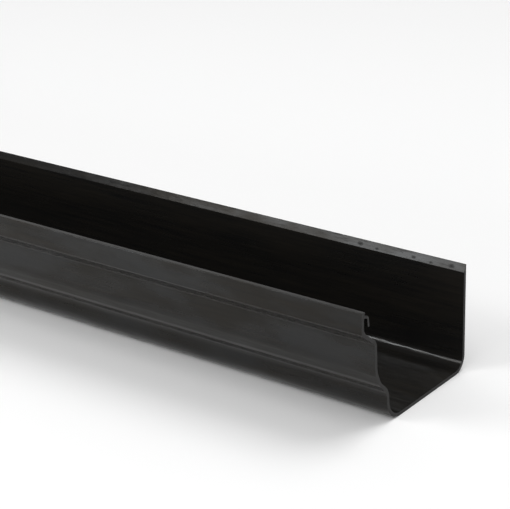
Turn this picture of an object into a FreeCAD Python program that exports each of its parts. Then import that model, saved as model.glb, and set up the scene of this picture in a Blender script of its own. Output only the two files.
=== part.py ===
# Gutter section: one extruded length of black rigid-PVC eaves gutter with an ogee front.
# It is a single wall of even thickness: one closed outline, extruded along X. The back
# stands against the fascia board on +Y, the ogee front looks towards -Y, the flat base lies
# on z = 0, and the origin is the middle of the part's footprint.

import FreeCAD, Part
import math
import os
from collections import namedtuple

import Sketcher

os.makedirs("parts", exist_ok=True)

doc = FreeCAD.newDocument("gutter_section")

# --- Driving sizes, in millimetres ---------------------------------------------------------
# "out" is towards the front and "rise" is upwards, each from the corner named before it.

SIZES = {
    "stock_length": 2000.0,          # one length as sold
    "overall_width": 110.0,          # back face to front face
    "front_height": 77.5,            # base to the top of the front lip
    "back_height": 68.0,             # base to the top of the fascia wall
    "wall": 2.2,                     # thickness of the extruded wall
    "back_corner_radius": 10.0,      # outside bend, fascia wall to base
    "front_corner_radius": 13.5,     # outside bend, base to lower band
    "lower_band_height": 19.3,
    "band_lean": 0.6,                # lean of the lower and of the middle band over its height
    "lower_fillet_radius": 8.5,      # hollow above the lower band
    "ridge_out": 6.9,                # ridge moulding, from the lower band's top
    "ridge_rise": 7.0,
    "ridge_radius": 3.0,
    "belly_out": 2.7,                # belly of the ogee slope, from the ridge
    "belly_rise": 4.1,
    "belly_radius": 10.0,
    "slope_out": 2.5,                # top of the ogee slope, from its belly
    "slope_rise": 5.8,
    "slope_radius": 14.0,            # swell of the ogee into the middle band
    "step_out": 12.6,                # sloping underside of the top band
    "step_rise": 9.9,
    "step_fillet_radius": 4.0,       # hollow over the middle band
    "step_inside_radius": 5.0,
    "top_band_height": 13.3,
    "top_band_radius": 3.0,          # swell at the foot of the top band
    "lip_width": 3.2,                # thickened lip along the front edge
    "lip_front_radius": 0.4,
    "lip_back_radius": 0.6,
    "lip_back_height": 1.0,
    "notch_drop": 1.7,               # lip top down to the root of the bracket hook
    "hook_reach": 5.4,               # inside face of the front to the far side of the hook
    "hook_wall": 1.6,
    "hook_fall": 1.8,                # fall of the hook's arm to its bend
    "hook_radius": 3.0,              # outside bend of the hook
    "hook_inside_radius": 0.6,
    "hook_leg": 6.5,                 # bend of the hook down to its free end
    "hook_lean": 0.8,                # lean of the leg away from the front over its height
    "back_taper_height": 4.7,        # taper along the top of the fascia wall
    "back_edge_width": 0.5,          # flat left above that taper
}

sheet = doc.addObject("Spreadsheet::Sheet", "Size")
for row, (alias, number) in enumerate(SIZES.items(), start=1):
    cell = "B%d" % row
    sheet.set("A%d" % row, alias)
    sheet.set(cell, str(number))
    sheet.setAlias(cell, alias)
doc.recompute()

# --- The outline of the section ------------------------------------------------------------
# The fascia face lies on the sketch's vertical axis and the base on its horizontal axis.
# The sides run anticlockwise, from the top of the back, under the base and up the front.

FRONT = "Size.overall_width"
INSIDE_FRONT = FRONT + " - Size.wall"
LIP_TOP = "Size.front_height"
LIP_BACK = FRONT + " - Size.lip_width"

TOP_BAND_FOOT = LIP_TOP + " - Size.top_band_height"
MIDDLE_TOP_X = FRONT + " - Size.step_out"
MIDDLE_TOP_Z = TOP_BAND_FOOT + " - Size.step_rise"
SLOPE_TOP_X = MIDDLE_TOP_X + " - Size.band_lean"
BELLY_X = SLOPE_TOP_X + " - Size.slope_out"
RIDGE_X = BELLY_X + " - Size.belly_out"
LOWER_TOP_X = RIDGE_X + " - Size.ridge_out"
LOWER_FOOT_X = LOWER_TOP_X + " - Size.band_lean"
LOWER_TOP_Z = "Size.lower_band_height"
RIDGE_Z = LOWER_TOP_Z + " + Size.ridge_rise"
BELLY_Z = RIDGE_Z + " + Size.belly_rise"
SLOPE_TOP_Z = BELLY_Z + " + Size.slope_rise"

NOTCH_Z = LIP_TOP + " - Size.notch_drop"
HOOK_FAR = INSIDE_FRONT + " - Size.hook_reach"
HOOK_NEAR = HOOK_FAR + " + Size.hook_wall"
HOOK_BEND_X = HOOK_FAR + " + Size.hook_lean"
HOOK_BEND_Z = NOTCH_Z + " - Size.hook_fall"
HOOK_END_Z = HOOK_BEND_Z + " - Size.hook_leg"

# A side starts at the corner (x, z), rounded to radius, and runs to the next side's corner.
# One with no x and z starts where it meets the side before it. It then runs beside another
# side, parallel to it, at the distance given by gap.
Side = namedtuple("Side", "name x z radius beside gap", defaults=[None] * 5)


def inside_of(side, radius):
    """The inner face of the wall behind an outer side."""
    return Side(side + " inside", radius=radius, beside=side, gap="Size.wall")


OUTLINE = [
    Side("fascia face", "0 mm", "Size.back_height"),
    Side("base", "0 mm", "0 mm", "Size.back_corner_radius"),
    Side("lower band", LOWER_FOOT_X, "0 mm", "Size.front_corner_radius"),
    Side("ridge underside", LOWER_TOP_X, LOWER_TOP_Z, "Size.lower_fillet_radius"),
    Side("ogee belly", RIDGE_X, RIDGE_Z, "Size.ridge_radius"),
    Side("ogee slope", BELLY_X, BELLY_Z, "Size.belly_radius"),
    Side("middle band", SLOPE_TOP_X, SLOPE_TOP_Z, "Size.slope_radius"),
    Side("step", MIDDLE_TOP_X, MIDDLE_TOP_Z, "Size.step_fillet_radius"),
    Side("top band", FRONT, TOP_BAND_FOOT, "Size.top_band_radius"),
    Side("lip top", FRONT, LIP_TOP, "Size.lip_front_radius"),
    Side("lip back", LIP_BACK, LIP_TOP, "Size.lip_back_radius"),
    Side("lip underside", LIP_BACK, LIP_TOP + " - Size.lip_back_height"),
    Side("hook arm", INSIDE_FRONT, NOTCH_Z),
    Side("hook leg", HOOK_BEND_X, HOOK_BEND_Z, "Size.hook_radius"),
    Side("hook end", HOOK_FAR, HOOK_END_Z),
    Side("hook leg inside", HOOK_NEAR, HOOK_END_Z, beside="hook leg"),
    Side("hook arm inside", radius="Size.hook_radius - Size.hook_wall", beside="hook arm",
         gap="Size.hook_wall"),
    inside_of("top band", "Size.hook_inside_radius"),
    inside_of("step", "Size.step_inside_radius"),
    inside_of("middle band", "Size.step_fillet_radius + Size.wall"),
    inside_of("ogee slope", "Size.slope_radius - Size.wall"),
    inside_of("ogee belly", "Size.belly_radius - Size.wall"),
    inside_of("ridge underside", "Size.ridge_radius - Size.wall"),
    inside_of("lower band", "Size.lower_fillet_radius + Size.wall"),
    inside_of("base", "Size.front_corner_radius - Size.wall"),
    Side("fascia wall inside", radius="Size.back_corner_radius - Size.wall",
         beside="fascia face"),
    Side("back taper", "Size.wall", "Size.back_height - Size.back_taper_height"),
    Side("back edge", "Size.back_edge_width", "Size.back_height"),
]
NUMBER = {side.name: index for index, side in enumerate(OUTLINE)}


# --- Drawing the outline -------------------------------------------------------------------

def value_of(expression):
    """What an expression on the sheet comes to, in millimetres."""
    result = sheet.evalExpression(expression)
    return float(getattr(result, "Value", result))


def left_of(direction):
    """The direction a quarter turn anticlockwise: into the wall from an anticlockwise side."""
    return FreeCAD.Vector(-direction.y, direction.x, 0)


def crossing(line_a, line_b):
    """Where two lines meet, each given as a point and a direction."""
    (start, along), (other, across) = line_a, line_b
    normal = left_of(across)
    return start + along * ((other - start).dot(normal) / along.dot(normal))


def lay_out():
    """The corners of the outline as points, in the order of its sides."""
    given = [None if side.x is None else FreeCAD.Vector(value_of(side.x), value_of(side.z), 0)
             for side in OUTLINE]
    lines = []
    for index, side in enumerate(OUTLINE):
        start = given[index]
        end = given[(index + 1) % len(OUTLINE)]
        if side.beside is None:
            lines.append((start, (end - start).normalize()))
            continue
        beside_start, direction = lines[NUMBER[side.beside]]
        if side.gap is None:
            lines.append((start or end, direction * -1))
        else:
            shifted = beside_start + left_of(direction) * value_of(side.gap)
            lines.append((shifted, direction * -1))
    return [point or crossing(lines[index - 1], lines[index])
            for index, point in enumerate(given)]


def rounding(before, corner, after, radius):
    """The arc that rounds a corner: its two ends, its middle and whether it turns left."""
    into = (corner - before).normalize()
    out = (after - corner).normalize()
    turn = into.getAngle(out)
    trim = radius * math.tan(turn / 2)
    first = corner - into * trim
    last = corner + out * trim
    turns_left = left_of(into).dot(out) > 0
    middle = first + left_of(into) * (radius if turns_left else -radius)
    return first, last, middle, turns_left


def bind(sketch, kind, where, expression):
    """A constraint whose size follows the sheet."""
    constraint = Sketcher.Constraint(kind, *where, value_of(expression))
    index = sketch.addConstraint(constraint)
    sketch.setExpression("Constraints[%d]" % index, expression)


def draw_outline(sketch):
    """The closed outline, fully constrained: straight sides with a tangent arc at each bend."""
    corners = lay_out()
    count = len(corners)
    START, END = 1, 2
    ORIGIN = (-1, 1)

    roundings = []
    for index, side in enumerate(OUTLINE):
        if side.radius is None:
            roundings.append(None)
            continue
        after = corners[(index + 1) % count]
        roundings.append(rounding(corners[index - 1], corners[index], after,
                                  value_of(side.radius)))

    lines = []
    for index in range(count):
        following = (index + 1) % count
        start = roundings[index][1] if roundings[index] else corners[index]
        end = roundings[following][0] if roundings[following] else corners[following]
        lines.append(sketch.addGeometry(Part.LineSegment(start, end)))

    for index, side in enumerate(OUTLINE):
        before, line = lines[index - 1], lines[index]
        if side.radius is None:
            sketch.addConstraint(Sketcher.Constraint("Coincident", before, END, line, START))
        else:
            first, last, middle, turns_left = roundings[index]
            if not turns_left:
                first, last = last, first
            circle = Part.Circle(middle, FreeCAD.Vector(0, 0, 1), value_of(side.radius))
            arc = Part.ArcOfCircle(circle, circle.parameter(first), circle.parameter(last))
            bend = sketch.addGeometry(arc)
            near, far = (START, END) if turns_left else (END, START)
            sketch.addConstraint(Sketcher.Constraint("Tangent", before, END, bend, near))
            sketch.addConstraint(Sketcher.Constraint("Tangent", bend, far, line, START))
            bind(sketch, "Radius", (bend,), side.radius)
        if side.x is not None:
            mark = sketch.addGeometry(Part.Point(corners[index]), True)
            bind(sketch, "DistanceX", (*ORIGIN, mark, START), side.x)
            bind(sketch, "DistanceY", (*ORIGIN, mark, START), side.z)
            if side.radius is None:
                sketch.addConstraint(Sketcher.Constraint("Coincident", mark, START, line, START))
            else:
                for touching in (before, line):
                    sketch.addConstraint(Sketcher.Constraint("PointOnObject", mark, START,
                                                             touching))

    for line, side in zip(lines, OUTLINE):
        if side.beside is not None:
            partner = lines[NUMBER[side.beside]]
            sketch.addConstraint(Sketcher.Constraint("Parallel", line, partner))
            if side.gap is not None:
                bind(sketch, "Distance", (line, START, partner), side.gap)


# --- The gutter: the outline extruded to its length ----------------------------------------

def make_gutter():
    body = doc.addObject("PartDesign::Body", "Gutter")
    body.Label = "gutter_channel"
    plane = next(feature for feature in body.Origin.OriginFeatures
                 if feature.Role == "YZ_Plane")
    sketch = body.newObject("Sketcher::SketchObject", "Section")
    sketch.AttachmentSupport = [(plane, "")]
    sketch.MapMode = "FlatFace"
    doc.recompute()
    draw_outline(sketch)
    doc.recompute()

    extrusion = body.newObject("PartDesign::Pad", "Extrusion")
    extrusion.Profile = sketch
    extrusion.SideType = "Symmetric"
    extrusion.setExpression("Length", "Size.stock_length")
    sketch.Visibility = False

    # Half a turn about Z brings the drawn section's front round to -Y.
    body.Placement = FreeCAD.Placement(FreeCAD.Vector(0, 0, 0),
                                       FreeCAD.Rotation(FreeCAD.Vector(0, 0, 1), 180))
    body.setExpression("Placement.Base.y", "Size.overall_width / 2")
    return body


parts = [make_gutter()]
doc.recompute()

# --- Check and write -----------------------------------------------------------------------

for item in doc.Objects:
    if "Invalid" in item.State or "Error" in item.State:
        raise RuntimeError("%s is %s" % (item.Name, item.State))

for part in parts:
    shape = part.Shape
    if shape.isNull() or not shape.isValid() or len(shape.Solids) != 1:
        raise RuntimeError(part.Label + " is not one valid solid")
    shape.exportStep("parts/%s.step" % part.Label)
    print(part.Label, "volume %.0f mm3" % shape.Volume, shape.BoundBox)
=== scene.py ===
# A length of black rigid-PVC eaves gutter with an ogee front, lying on a pale studio floor.
import math
from collections import namedtuple

import bmesh
import bpy
from mathutils import Matrix, Vector


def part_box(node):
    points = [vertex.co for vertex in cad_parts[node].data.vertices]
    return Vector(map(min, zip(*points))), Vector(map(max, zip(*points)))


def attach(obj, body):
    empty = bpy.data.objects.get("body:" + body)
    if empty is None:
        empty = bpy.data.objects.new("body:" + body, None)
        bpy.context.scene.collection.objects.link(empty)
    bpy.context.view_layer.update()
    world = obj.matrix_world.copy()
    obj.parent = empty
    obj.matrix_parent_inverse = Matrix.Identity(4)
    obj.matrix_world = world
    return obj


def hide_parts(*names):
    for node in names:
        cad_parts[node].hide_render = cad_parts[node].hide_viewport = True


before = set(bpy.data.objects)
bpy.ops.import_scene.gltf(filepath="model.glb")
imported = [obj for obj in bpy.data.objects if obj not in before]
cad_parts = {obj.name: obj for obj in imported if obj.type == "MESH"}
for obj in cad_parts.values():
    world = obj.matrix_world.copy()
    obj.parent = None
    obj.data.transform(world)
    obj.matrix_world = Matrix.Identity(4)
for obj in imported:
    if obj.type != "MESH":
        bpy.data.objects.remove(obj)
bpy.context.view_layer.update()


# --- Gutter channel ------------------------------------------------------------------------
# The whole gutter is one extrusion of black rigid PVC: fascia wall, flat base, ogee front,
# rounded lip and the hook that its brackets clip to. It is pushed through a die, so its
# section never changes, and each end is sawn square.

MM = 0.001
low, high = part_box("gutter_channel")
width = (high.y - low.y) / MM
front_height = (high.z - low.z) / MM
BACK_HEIGHT = 68.0
WALL = 2.2
HOOK_WALL = 1.6
LIP_WIDTH = 3.2
TAPERED_EDGE = 0.5       # what the fascia wall thins to at its top
EDGE_BREAK = 0.25        # radius that a sharp corner leaves the die with

# Corners of the outer face, in mm: out from the fascia face, up from the base, rounding.
Corner = namedtuple("Corner", "out up radius")
back_top = Corner(0.0, BACK_HEIGHT, EDGE_BREAK)
back_foot = Corner(0.0, 0.0, 10.0)
front_foot = Corner(84.1, 0.0, 13.5)
lower_band_top = Corner(84.9, 19.7, 8.5)
ridge = Corner(91.9, 26.2, 1.2)
belly = Corner(93.5, 28.5, 6.0)
slope_top = Corner(96.8, 36.2, 14.0)
middle_band_top = Corner(97.4, 54.3, 2.2)
top_band_foot = Corner(width, 64.2, 1.6)
lip_front = Corner(width, front_height, 0.4)
lip_back = Corner(width - LIP_WIDTH, front_height, 0.6)
lip_underside = Corner(lip_back.out, 76.5, EDGE_BREAK)
hook_root = Corner(width - WALL, 75.8, EDGE_BREAK)
hook_bend = Corner(103.2, 74.0, 3.0)
hook_end = Corner(102.4, 67.5, EDGE_BREAK)
hook_end_inside = Corner(hook_end.out + HOOK_WALL, hook_end.up, EDGE_BREAK)
taper_foot = Corner(WALL, 63.3, EDGE_BREAK)
taper_top = Corner(TAPERED_EDGE, BACK_HEIGHT, 0.15)

fascia_wall = (back_top, back_foot)
base = (back_foot, front_foot)
lower_band = (front_foot, lower_band_top)
ridge_underside = (lower_band_top, ridge)
lower_slope = (ridge, belly)
upper_slope = (belly, slope_top)
middle_band = (slope_top, middle_band_top)
step = (middle_band_top, top_band_foot)
top_band = (top_band_foot, lip_front)
hook_arm = (hook_root, hook_bend)
hook_leg = (hook_bend, hook_end)


def inner_corner(side, other, radius, depth=WALL, other_depth=WALL):
    """The corner where the inner faces of two outer sides meet, each a wall's depth in."""
    faces = []
    for (start, end), inset in ((side, depth), (other, other_depth)):
        along = (Vector(end[:2]) - Vector(start[:2])).normalized()
        inward = Vector((-along.y, along.x))
        faces.append((Vector(start[:2]) + inward * inset, along, inward))
    (start, along, _), (other_start, _, inward) = faces
    meeting = start + along * ((other_start - start).dot(inward) / along.dot(inward))
    return Corner(meeting.x, meeting.y, radius)


# Around a bend the inner radius is the outer one less the wall, or plus it where the front
# turns the other way. The ridge and both corners of the step are crisper outside than that
# would make them, so their inner radii are given by themselves.
section = [
    back_top, back_foot, front_foot, lower_band_top, ridge, belly, slope_top,
    middle_band_top, top_band_foot, lip_front, lip_back, lip_underside, hook_root,
    hook_bend, hook_end, hook_end_inside,
    inner_corner(hook_leg, hook_arm, hook_bend.radius - HOOK_WALL, HOOK_WALL, HOOK_WALL),
    inner_corner(hook_arm, top_band, 0.6, HOOK_WALL, WALL),
    inner_corner(top_band, step, 5.0),
    inner_corner(step, middle_band, 6.2),
    inner_corner(middle_band, upper_slope, slope_top.radius - WALL),
    inner_corner(upper_slope, lower_slope, belly.radius - WALL),
    inner_corner(lower_slope, ridge_underside, 0.8),
    inner_corner(ridge_underside, lower_band, lower_band_top.radius + WALL),
    inner_corner(lower_band, base, front_foot.radius - WALL),
    inner_corner(base, fascia_wall, back_foot.radius - WALL),
    taper_foot, taper_top,
]


def on_left_end(corner):
    """A corner of the section as a point on the left sawn end."""
    return Vector((low.x, high.y - corner.out * MM, low.z + corner.up * MM))


def select_only(elements, chosen):
    """Selects the mesh elements that the test picks out, and nothing else."""
    bpy.ops.mesh.select_all(action="DESELECT")
    for element in elements:
        if chosen(element):
            element.select_set(True)


# The section is drawn on the left end: one vertex is pushed from corner to corner, and the
# last one is joined to the first.
places = [on_left_end(corner) for corner in section]

bpy.ops.object.select_all(action="DESELECT")
bpy.ops.mesh.primitive_plane_add(size=MM, location=places[0])
gutter = bpy.context.object
gutter.name = "gutter_extrusion"
gutter.data.name = gutter.name
bpy.ops.object.transform_apply(location=True, rotation=True, scale=True)
bpy.ops.object.mode_set(mode="EDIT")
bpy.ops.mesh.select_mode(type="VERT")
bpy.ops.mesh.select_all(action="SELECT")
bpy.ops.mesh.merge(type="CENTER")

for place, following in zip(places, places[1:]):
    bpy.ops.mesh.extrude_region_move(TRANSFORM_OT_translate={"value": following - place})
drawn_section = bmesh.from_edit_mesh(gutter.data)
select_only(drawn_section.verts, lambda vert: len(vert.link_edges) == 1)
bpy.ops.mesh.edge_face_add()

# Each corner is rounded by a bevel of its vertex: the bevel starts where the arc would.
ARC_STEP = math.radians(5)
FEWEST_STEPS = 3
SAME_PLACE = 0.01 * MM
for index, corner in enumerate(section):
    before = places[index - 1]
    place = places[index]
    after = places[(index + 1) % len(places)]
    turn = (place - before).angle(after - place)
    drawn_section = bmesh.from_edit_mesh(gutter.data)
    select_only(drawn_section.verts, lambda vert: (vert.co - place).length < SAME_PLACE)
    bpy.ops.mesh.bevel(affect="VERTICES", offset=corner.radius * MM * math.tan(turn / 2),
                       segments=max(FEWEST_STEPS, round(turn / ARC_STEP)), profile=0.5,
                       clamp_overlap=False)

# The rounded section is filled and pushed out to the right end, as through the die.
bpy.ops.mesh.select_all(action="SELECT")
bpy.ops.mesh.edge_face_add()
bpy.ops.mesh.extrude_region_move(
    TRANSFORM_OT_translate={"value": (high.x - low.x, 0, 0)})
bpy.ops.mesh.select_all(action="SELECT")
bpy.ops.mesh.normals_make_consistent(inside=False)
bpy.ops.object.mode_set(mode="OBJECT")

SHARPEST_BEND = math.radians(25)      # anything sharper than this shades as an edge
bpy.ops.object.shade_smooth_by_angle(angle=SHARPEST_BEND)
weighted = gutter.modifiers.new("Flat faces shade flat", "WEIGHTED_NORMAL")
weighted.keep_sharp = True
bpy.ops.object.modifier_apply(modifier=weighted.name)


def from_hex(code):
    """An sRGB colour such as '1c1d1c' as linear red, green, blue and alpha."""
    channels = [int(code[start:start + 2], 16) / 255 for start in (0, 2, 4)]
    linear = [value / 12.92 if value <= 0.04045 else ((value + 0.055) / 1.055) ** 2.4
              for value in channels]
    return (*linear, 1.0)


def add_node(tree, kind, inputs=None, **settings):
    """Adds a shader node with its settings, and links or sets its inputs."""
    node = tree.nodes.new(kind)
    for name, value in settings.items():
        setattr(node, name, value)
    for socket, source in (inputs or {}).items():
        if isinstance(source, bpy.types.NodeSocket):
            tree.links.new(source, node.inputs[socket])
        else:
            node.inputs[socket].default_value = source
    return node


# Extruded black rigid PVC comes off the die satin. The die draws faint lines lengthwise, the
# skin cools in soft cloudy patches, and a thin bloom makes some of it paler, warmer and duller.
PVC_IOR = 1.53
pvc = bpy.data.materials.new("extruded_black_rigid_pvc")
pvc.use_nodes = True
tree = pvc.node_tree
tree.nodes.clear()
position = add_node(tree, "ShaderNodeTexCoord").outputs["Object"]

# Die lines are drawn coarser and deeper than the real ones, so that they show.
DIE_LINE_GAP = 2 * MM
DIE_LINE_LENGTH = 40 * MM
DIE_LINE_DEPTH = 0.08 * MM
drawn = add_node(tree, "ShaderNodeMapping", {
    "Vector": position, "Scale": (1 / DIE_LINE_LENGTH, 1 / DIE_LINE_GAP, 1 / DIE_LINE_GAP)})
die_lines = add_node(tree, "ShaderNodeTexNoise", {
    "Vector": drawn.outputs["Vector"], "Scale": 1.0, "Detail": 2.0, "Roughness": 0.5})

# Cloudy patches run a little way along the gutter, as the skin cools on its way off the die.
PATCH_WIDTH = 25 * MM
PATCH_LENGTH = 80 * MM
PATCH_DEPTH = 0.8 * MM
drifted = add_node(tree, "ShaderNodeMapping", {
    "Vector": position, "Scale": (1 / PATCH_LENGTH, 1 / PATCH_WIDTH, 1 / PATCH_WIDTH)})
patches = add_node(tree, "ShaderNodeTexNoise", {
    "Vector": drifted.outputs["Vector"], "Scale": 1.0, "Detail": 4.0, "Roughness": 0.6})

# The bloom follows both patterns, whose sum stays near 1.
marks = add_node(tree, "ShaderNodeMath", {
    0: patches.outputs["Fac"], 1: die_lines.outputs["Fac"]}, operation="ADD")
bloom = add_node(tree, "ShaderNodeMapRange", {
    "Value": marks.outputs[0], "From Min": 0.7, "From Max": 1.3})
tone = add_node(tree, "ShaderNodeValToRGB", {"Fac": bloom.outputs["Result"]})
tone.color_ramp.elements[0].color = from_hex("151515")
tone.color_ramp.elements[1].color = from_hex("1f1d1a")
gloss = add_node(tree, "ShaderNodeMapRange", {
    "Value": bloom.outputs["Result"], "To Min": 0.14, "To Max": 0.24})
haze = add_node(tree, "ShaderNodeValToRGB", {"Fac": patches.outputs["Fac"]})
haze.color_ramp.elements[0].position = 0.4
haze.color_ramp.elements[0].color = from_hex("fafdff")
haze.color_ramp.elements[1].position = 0.6
haze.color_ramp.elements[1].color = from_hex("b6b2ab")

# Small scuffs lie along the sloping rim near the right end, where handling has dulled the
# gloss. Each has its distance in from that end, its height and its radius, in mm.
SCUFFS = ((73, 65.4, 1.5), (61, 64.6, 0.9), (35, 65.0, 1.2), (23, 64.3, 1.0), (9, 65.2, 1.5))
RIM_MIDDLE = 1.5         # how far the middle of the sloping rim is from the fascia face
SCUFF_SHAPE = (0.6, 1, 1)             # under 1 along the gutter draws them out lengthwise
SCUFF_DULLNESS = 0.35
dulled = 0.0
for inwards, above, radius in SCUFFS:
    centre = (high.x - inwards * MM, high.y - RIM_MIDDLE * MM, low.z + above * MM)
    away = add_node(tree, "ShaderNodeVectorMath", {0: position, 1: centre}, operation="SUBTRACT")
    rubbed = add_node(tree, "ShaderNodeVectorMath", {0: away.outputs[0], 1: SCUFF_SHAPE},
                      operation="MULTIPLY")
    reach = add_node(tree, "ShaderNodeVectorMath", {0: rubbed.outputs[0]}, operation="LENGTH")
    scuff = add_node(tree, "ShaderNodeMapRange", {
        "Value": reach.outputs["Value"], "From Max": radius * MM, "To Min": 1.0, "To Max": 0.0})
    dulled = add_node(tree, "ShaderNodeMath", {0: dulled, 1: scuff.outputs["Result"]},
                      operation="MAXIMUM").outputs[0]
worn = add_node(tree, "ShaderNodeMath", {
    0: dulled, 1: SCUFF_DULLNESS, 2: gloss.outputs["Result"]}, operation="MULTIPLY_ADD")

drawn_skin = add_node(tree, "ShaderNodeBump", {
    "Height": die_lines.outputs["Fac"], "Strength": 1.0, "Distance": DIE_LINE_DEPTH})
cooled_skin = add_node(tree, "ShaderNodeBump", {
    "Height": patches.outputs["Fac"], "Strength": 1.0, "Distance": PATCH_DEPTH,
    "Normal": drawn_skin.outputs["Normal"]})
skin = add_node(tree, "ShaderNodeBsdfPrincipled", {
    "Base Color": tone.outputs["Color"], "Roughness": worn.outputs[0], "IOR": PVC_IOR,
    "Specular IOR Level": 0.29, "Specular Tint": haze.outputs["Color"],
    "Normal": cooled_skin.outputs["Normal"]})
add_node(tree, "ShaderNodeOutputMaterial", {"Surface": skin.outputs["BSDF"]})
gutter.data.materials.append(pvc)

# The sawn ends are the same PVC without its die skin: duller, with fine upright saw lines.
sawn_pvc = bpy.data.materials.new("sawn_black_rigid_pvc")
sawn_pvc.use_nodes = True
tree = sawn_pvc.node_tree
tree.nodes.clear()
position = add_node(tree, "ShaderNodeTexCoord").outputs["Object"]

# Saw lines are drawn coarser and deeper than the real ones, so that they show.
SAW_LINE_GAP = 0.8 * MM
SAW_LINE_LENGTH = 12.5 * MM
SAW_LINE_DEPTH = 0.08 * MM
sawn = add_node(tree, "ShaderNodeMapping", {
    "Vector": position, "Scale": (1 / SAW_LINE_GAP, 1 / SAW_LINE_GAP, 1 / SAW_LINE_LENGTH)})
saw_lines = add_node(tree, "ShaderNodeTexNoise", {
    "Vector": sawn.outputs["Vector"], "Scale": 1.0, "Detail": 2.0, "Roughness": 0.5})
tone = add_node(tree, "ShaderNodeValToRGB", {"Fac": saw_lines.outputs["Fac"]})
tone.color_ramp.elements[0].position = 0.3
tone.color_ramp.elements[0].color = from_hex("151413")
tone.color_ramp.elements[1].position = 0.7
tone.color_ramp.elements[1].color = from_hex("201f1e")
sawn_skin = add_node(tree, "ShaderNodeBump", {
    "Height": saw_lines.outputs["Fac"], "Strength": 1.0, "Distance": SAW_LINE_DEPTH})
cut_face = add_node(tree, "ShaderNodeBsdfPrincipled", {
    "Base Color": tone.outputs["Color"], "Roughness": 0.45, "IOR": PVC_IOR,
    "Specular IOR Level": 0.16, "Normal": sawn_skin.outputs["Normal"]})
add_node(tree, "ShaderNodeOutputMaterial", {"Surface": cut_face.outputs["BSDF"]})
gutter.data.materials.append(sawn_pvc)

FACING_ALONG = 0.9       # a face whose normal runs at least this much lengthwise is an end
bpy.ops.object.mode_set(mode="EDIT")
bpy.ops.mesh.select_mode(type="FACE")
select_only(bmesh.from_edit_mesh(gutter.data).faces,
            lambda face: abs(face.normal.x) > FACING_ALONG)
gutter.active_material_index = gutter.data.materials.find(sawn_pvc.name)
bpy.ops.object.material_slot_assign()
bpy.ops.object.mode_set(mode="OBJECT")

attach(gutter, "root")
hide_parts("gutter_channel")


# --- Studio floor --------------------------------------------------------------------------
# A plain matt white sweep that the gutter lies on. It runs far past the gutter on all sides,
# and lies a hair below it, so that the two flat faces don't mix.

FLOOR_SIZE = 40.0
FLOOR_GAP = 0.1 * MM
bpy.ops.object.select_all(action="DESELECT")
bpy.ops.mesh.primitive_plane_add(size=FLOOR_SIZE, location=(0, 0, low.z - FLOOR_GAP))
floor = bpy.context.object
floor.name = "studio_floor"
bpy.ops.object.transform_apply(location=True)
white_paint = bpy.data.materials.new("matt_white_studio_floor")
white_paint.use_nodes = True
tree = white_paint.node_tree
tree.nodes.clear()
paint = add_node(tree, "ShaderNodeBsdfDiffuse", {"Color": from_hex("f8f8f8")})
add_node(tree, "ShaderNodeOutputMaterial", {"Surface": paint.outputs["BSDF"]})
floor.data.materials.append(white_paint)


# --- Studio light --------------------------------------------------------------------------
# A pale cove is brighter behind the gutter than in front and dim overhead. Two softboxes
# overhead whiten the floor. Of the two lower ones at the front, the upper shows as the bright
# line in the inner corner, and the lower one lights the sloping rim.

COVE_IN_FRONT = 0.35
COVE_BEHIND = 0.62
OVERHEAD_SHARE = 0.35    # how much of the cove's light is left overhead
world = bpy.data.worlds.new("studio_cove")
bpy.context.scene.world = world
world.use_nodes = True
tree = world.node_tree
tree.nodes.clear()
direction = add_node(tree, "ShaderNodeTexCoord").outputs["Generated"]
split = add_node(tree, "ShaderNodeSeparateXYZ", {"Vector": direction})
to_back = add_node(tree, "ShaderNodeMapRange", {
    "Value": split.outputs["Y"], "From Min": -0.2, "From Max": 0.3,
    "To Min": COVE_IN_FRONT, "To Max": COVE_BEHIND})
overhead = add_node(tree, "ShaderNodeMapRange", {
    "Value": split.outputs["Z"], "From Min": 0.45, "From Max": 0.7,
    "To Min": 1.0, "To Max": OVERHEAD_SHARE})
strength = add_node(tree, "ShaderNodeMath", {
    0: to_back.outputs["Result"], 1: overhead.outputs["Result"]}, operation="MULTIPLY")
cove = add_node(tree, "ShaderNodeBackground", {
    "Color": (1, 1, 1, 1), "Strength": strength.outputs[0]})
add_node(tree, "ShaderNodeOutputWorld", {"Surface": cove.outputs["Background"]})

AIM = Vector((0.7, 0, 0.04))          # the softboxes face the stretch near the right end


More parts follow.
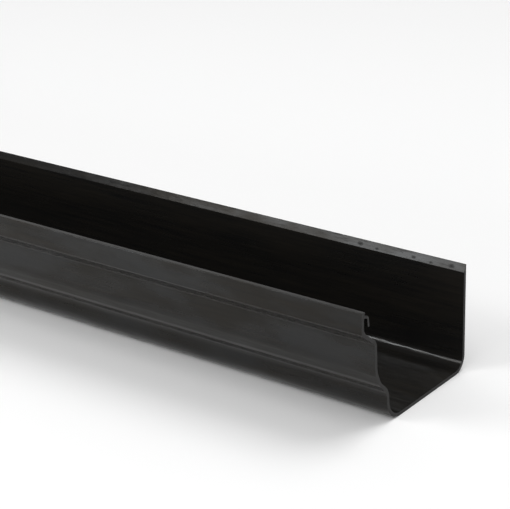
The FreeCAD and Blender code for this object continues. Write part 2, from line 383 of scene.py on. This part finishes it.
def add_softbox(name, azimuth, elevation, distance, across, up, radiance):
    """A rectangular softbox; azimuth turns from the front of the gutter towards its left."""
    area = across * up
    data = bpy.data.lights.new(name, "AREA")
    data.shape = "RECTANGLE"
    data.size = across
    data.size_y = up
    data.energy = radiance * math.pi * area
    box = bpy.data.objects.new(name, data)
    bpy.context.scene.collection.objects.link(box)
    azimuth = math.radians(azimuth)
    elevation = math.radians(elevation)
    towards = Vector((-math.sin(azimuth) * math.cos(elevation),
                      -math.cos(azimuth) * math.cos(elevation), math.sin(elevation)))
    box.location = AIM + towards * distance
    box.rotation_euler = towards.to_track_quat("Z", "Y").to_euler()


add_softbox("front_softbox", azimuth=38, elevation=35, distance=2.0,
            across=0.9, up=0.45, radiance=9.5)
add_softbox("low_softbox", azimuth=15, elevation=13, distance=2.0,
            across=1.6, up=0.35, radiance=6.0)
add_softbox("front_overhead_softbox", azimuth=-30, elevation=66, distance=4.0,
            across=2.2, up=2.4, radiance=3.1)
add_softbox("back_overhead_softbox", azimuth=-150, elevation=66, distance=4.0,
            across=2.2, up=2.4, radiance=4.1)


# --- Camera --------------------------------------------------------------------------------
# A long lens stands off the front of the gutter, past its right-hand end, and looks back and
# down along it, so that the sawn end and the inside of the fascia wall both show.

CAMERA_PLACE = Vector((1.4920, -0.7935, 0.4786))
CAMERA_AZIMUTH = math.radians(37.309)
CAMERA_ELEVATION = math.radians(22.383)
CAMERA_ROLL = math.radians(-1.662)
SENSOR_WIDTH = 36.0
FOCAL_LENGTH = 127.86
NEAREST_SEEN = 0.05
camera_data = bpy.data.cameras.new("camera")
camera_data.lens = FOCAL_LENGTH
camera_data.sensor_width = SENSOR_WIDTH
camera_data.clip_start = NEAREST_SEEN
camera = bpy.data.objects.new("camera", camera_data)
bpy.context.scene.collection.objects.link(camera)
facing = (Matrix.Rotation(CAMERA_AZIMUTH, 4, "Z")
          @ Matrix.Rotation(math.pi / 2 - CAMERA_ELEVATION, 4, "X")
          @ Matrix.Rotation(CAMERA_ROLL, 4, "Z"))
camera.matrix_world = Matrix.Translation(CAMERA_PLACE) @ facing
bpy.context.scene.camera = camera
bpy.context.scene.view_settings.view_transform = "Standard"
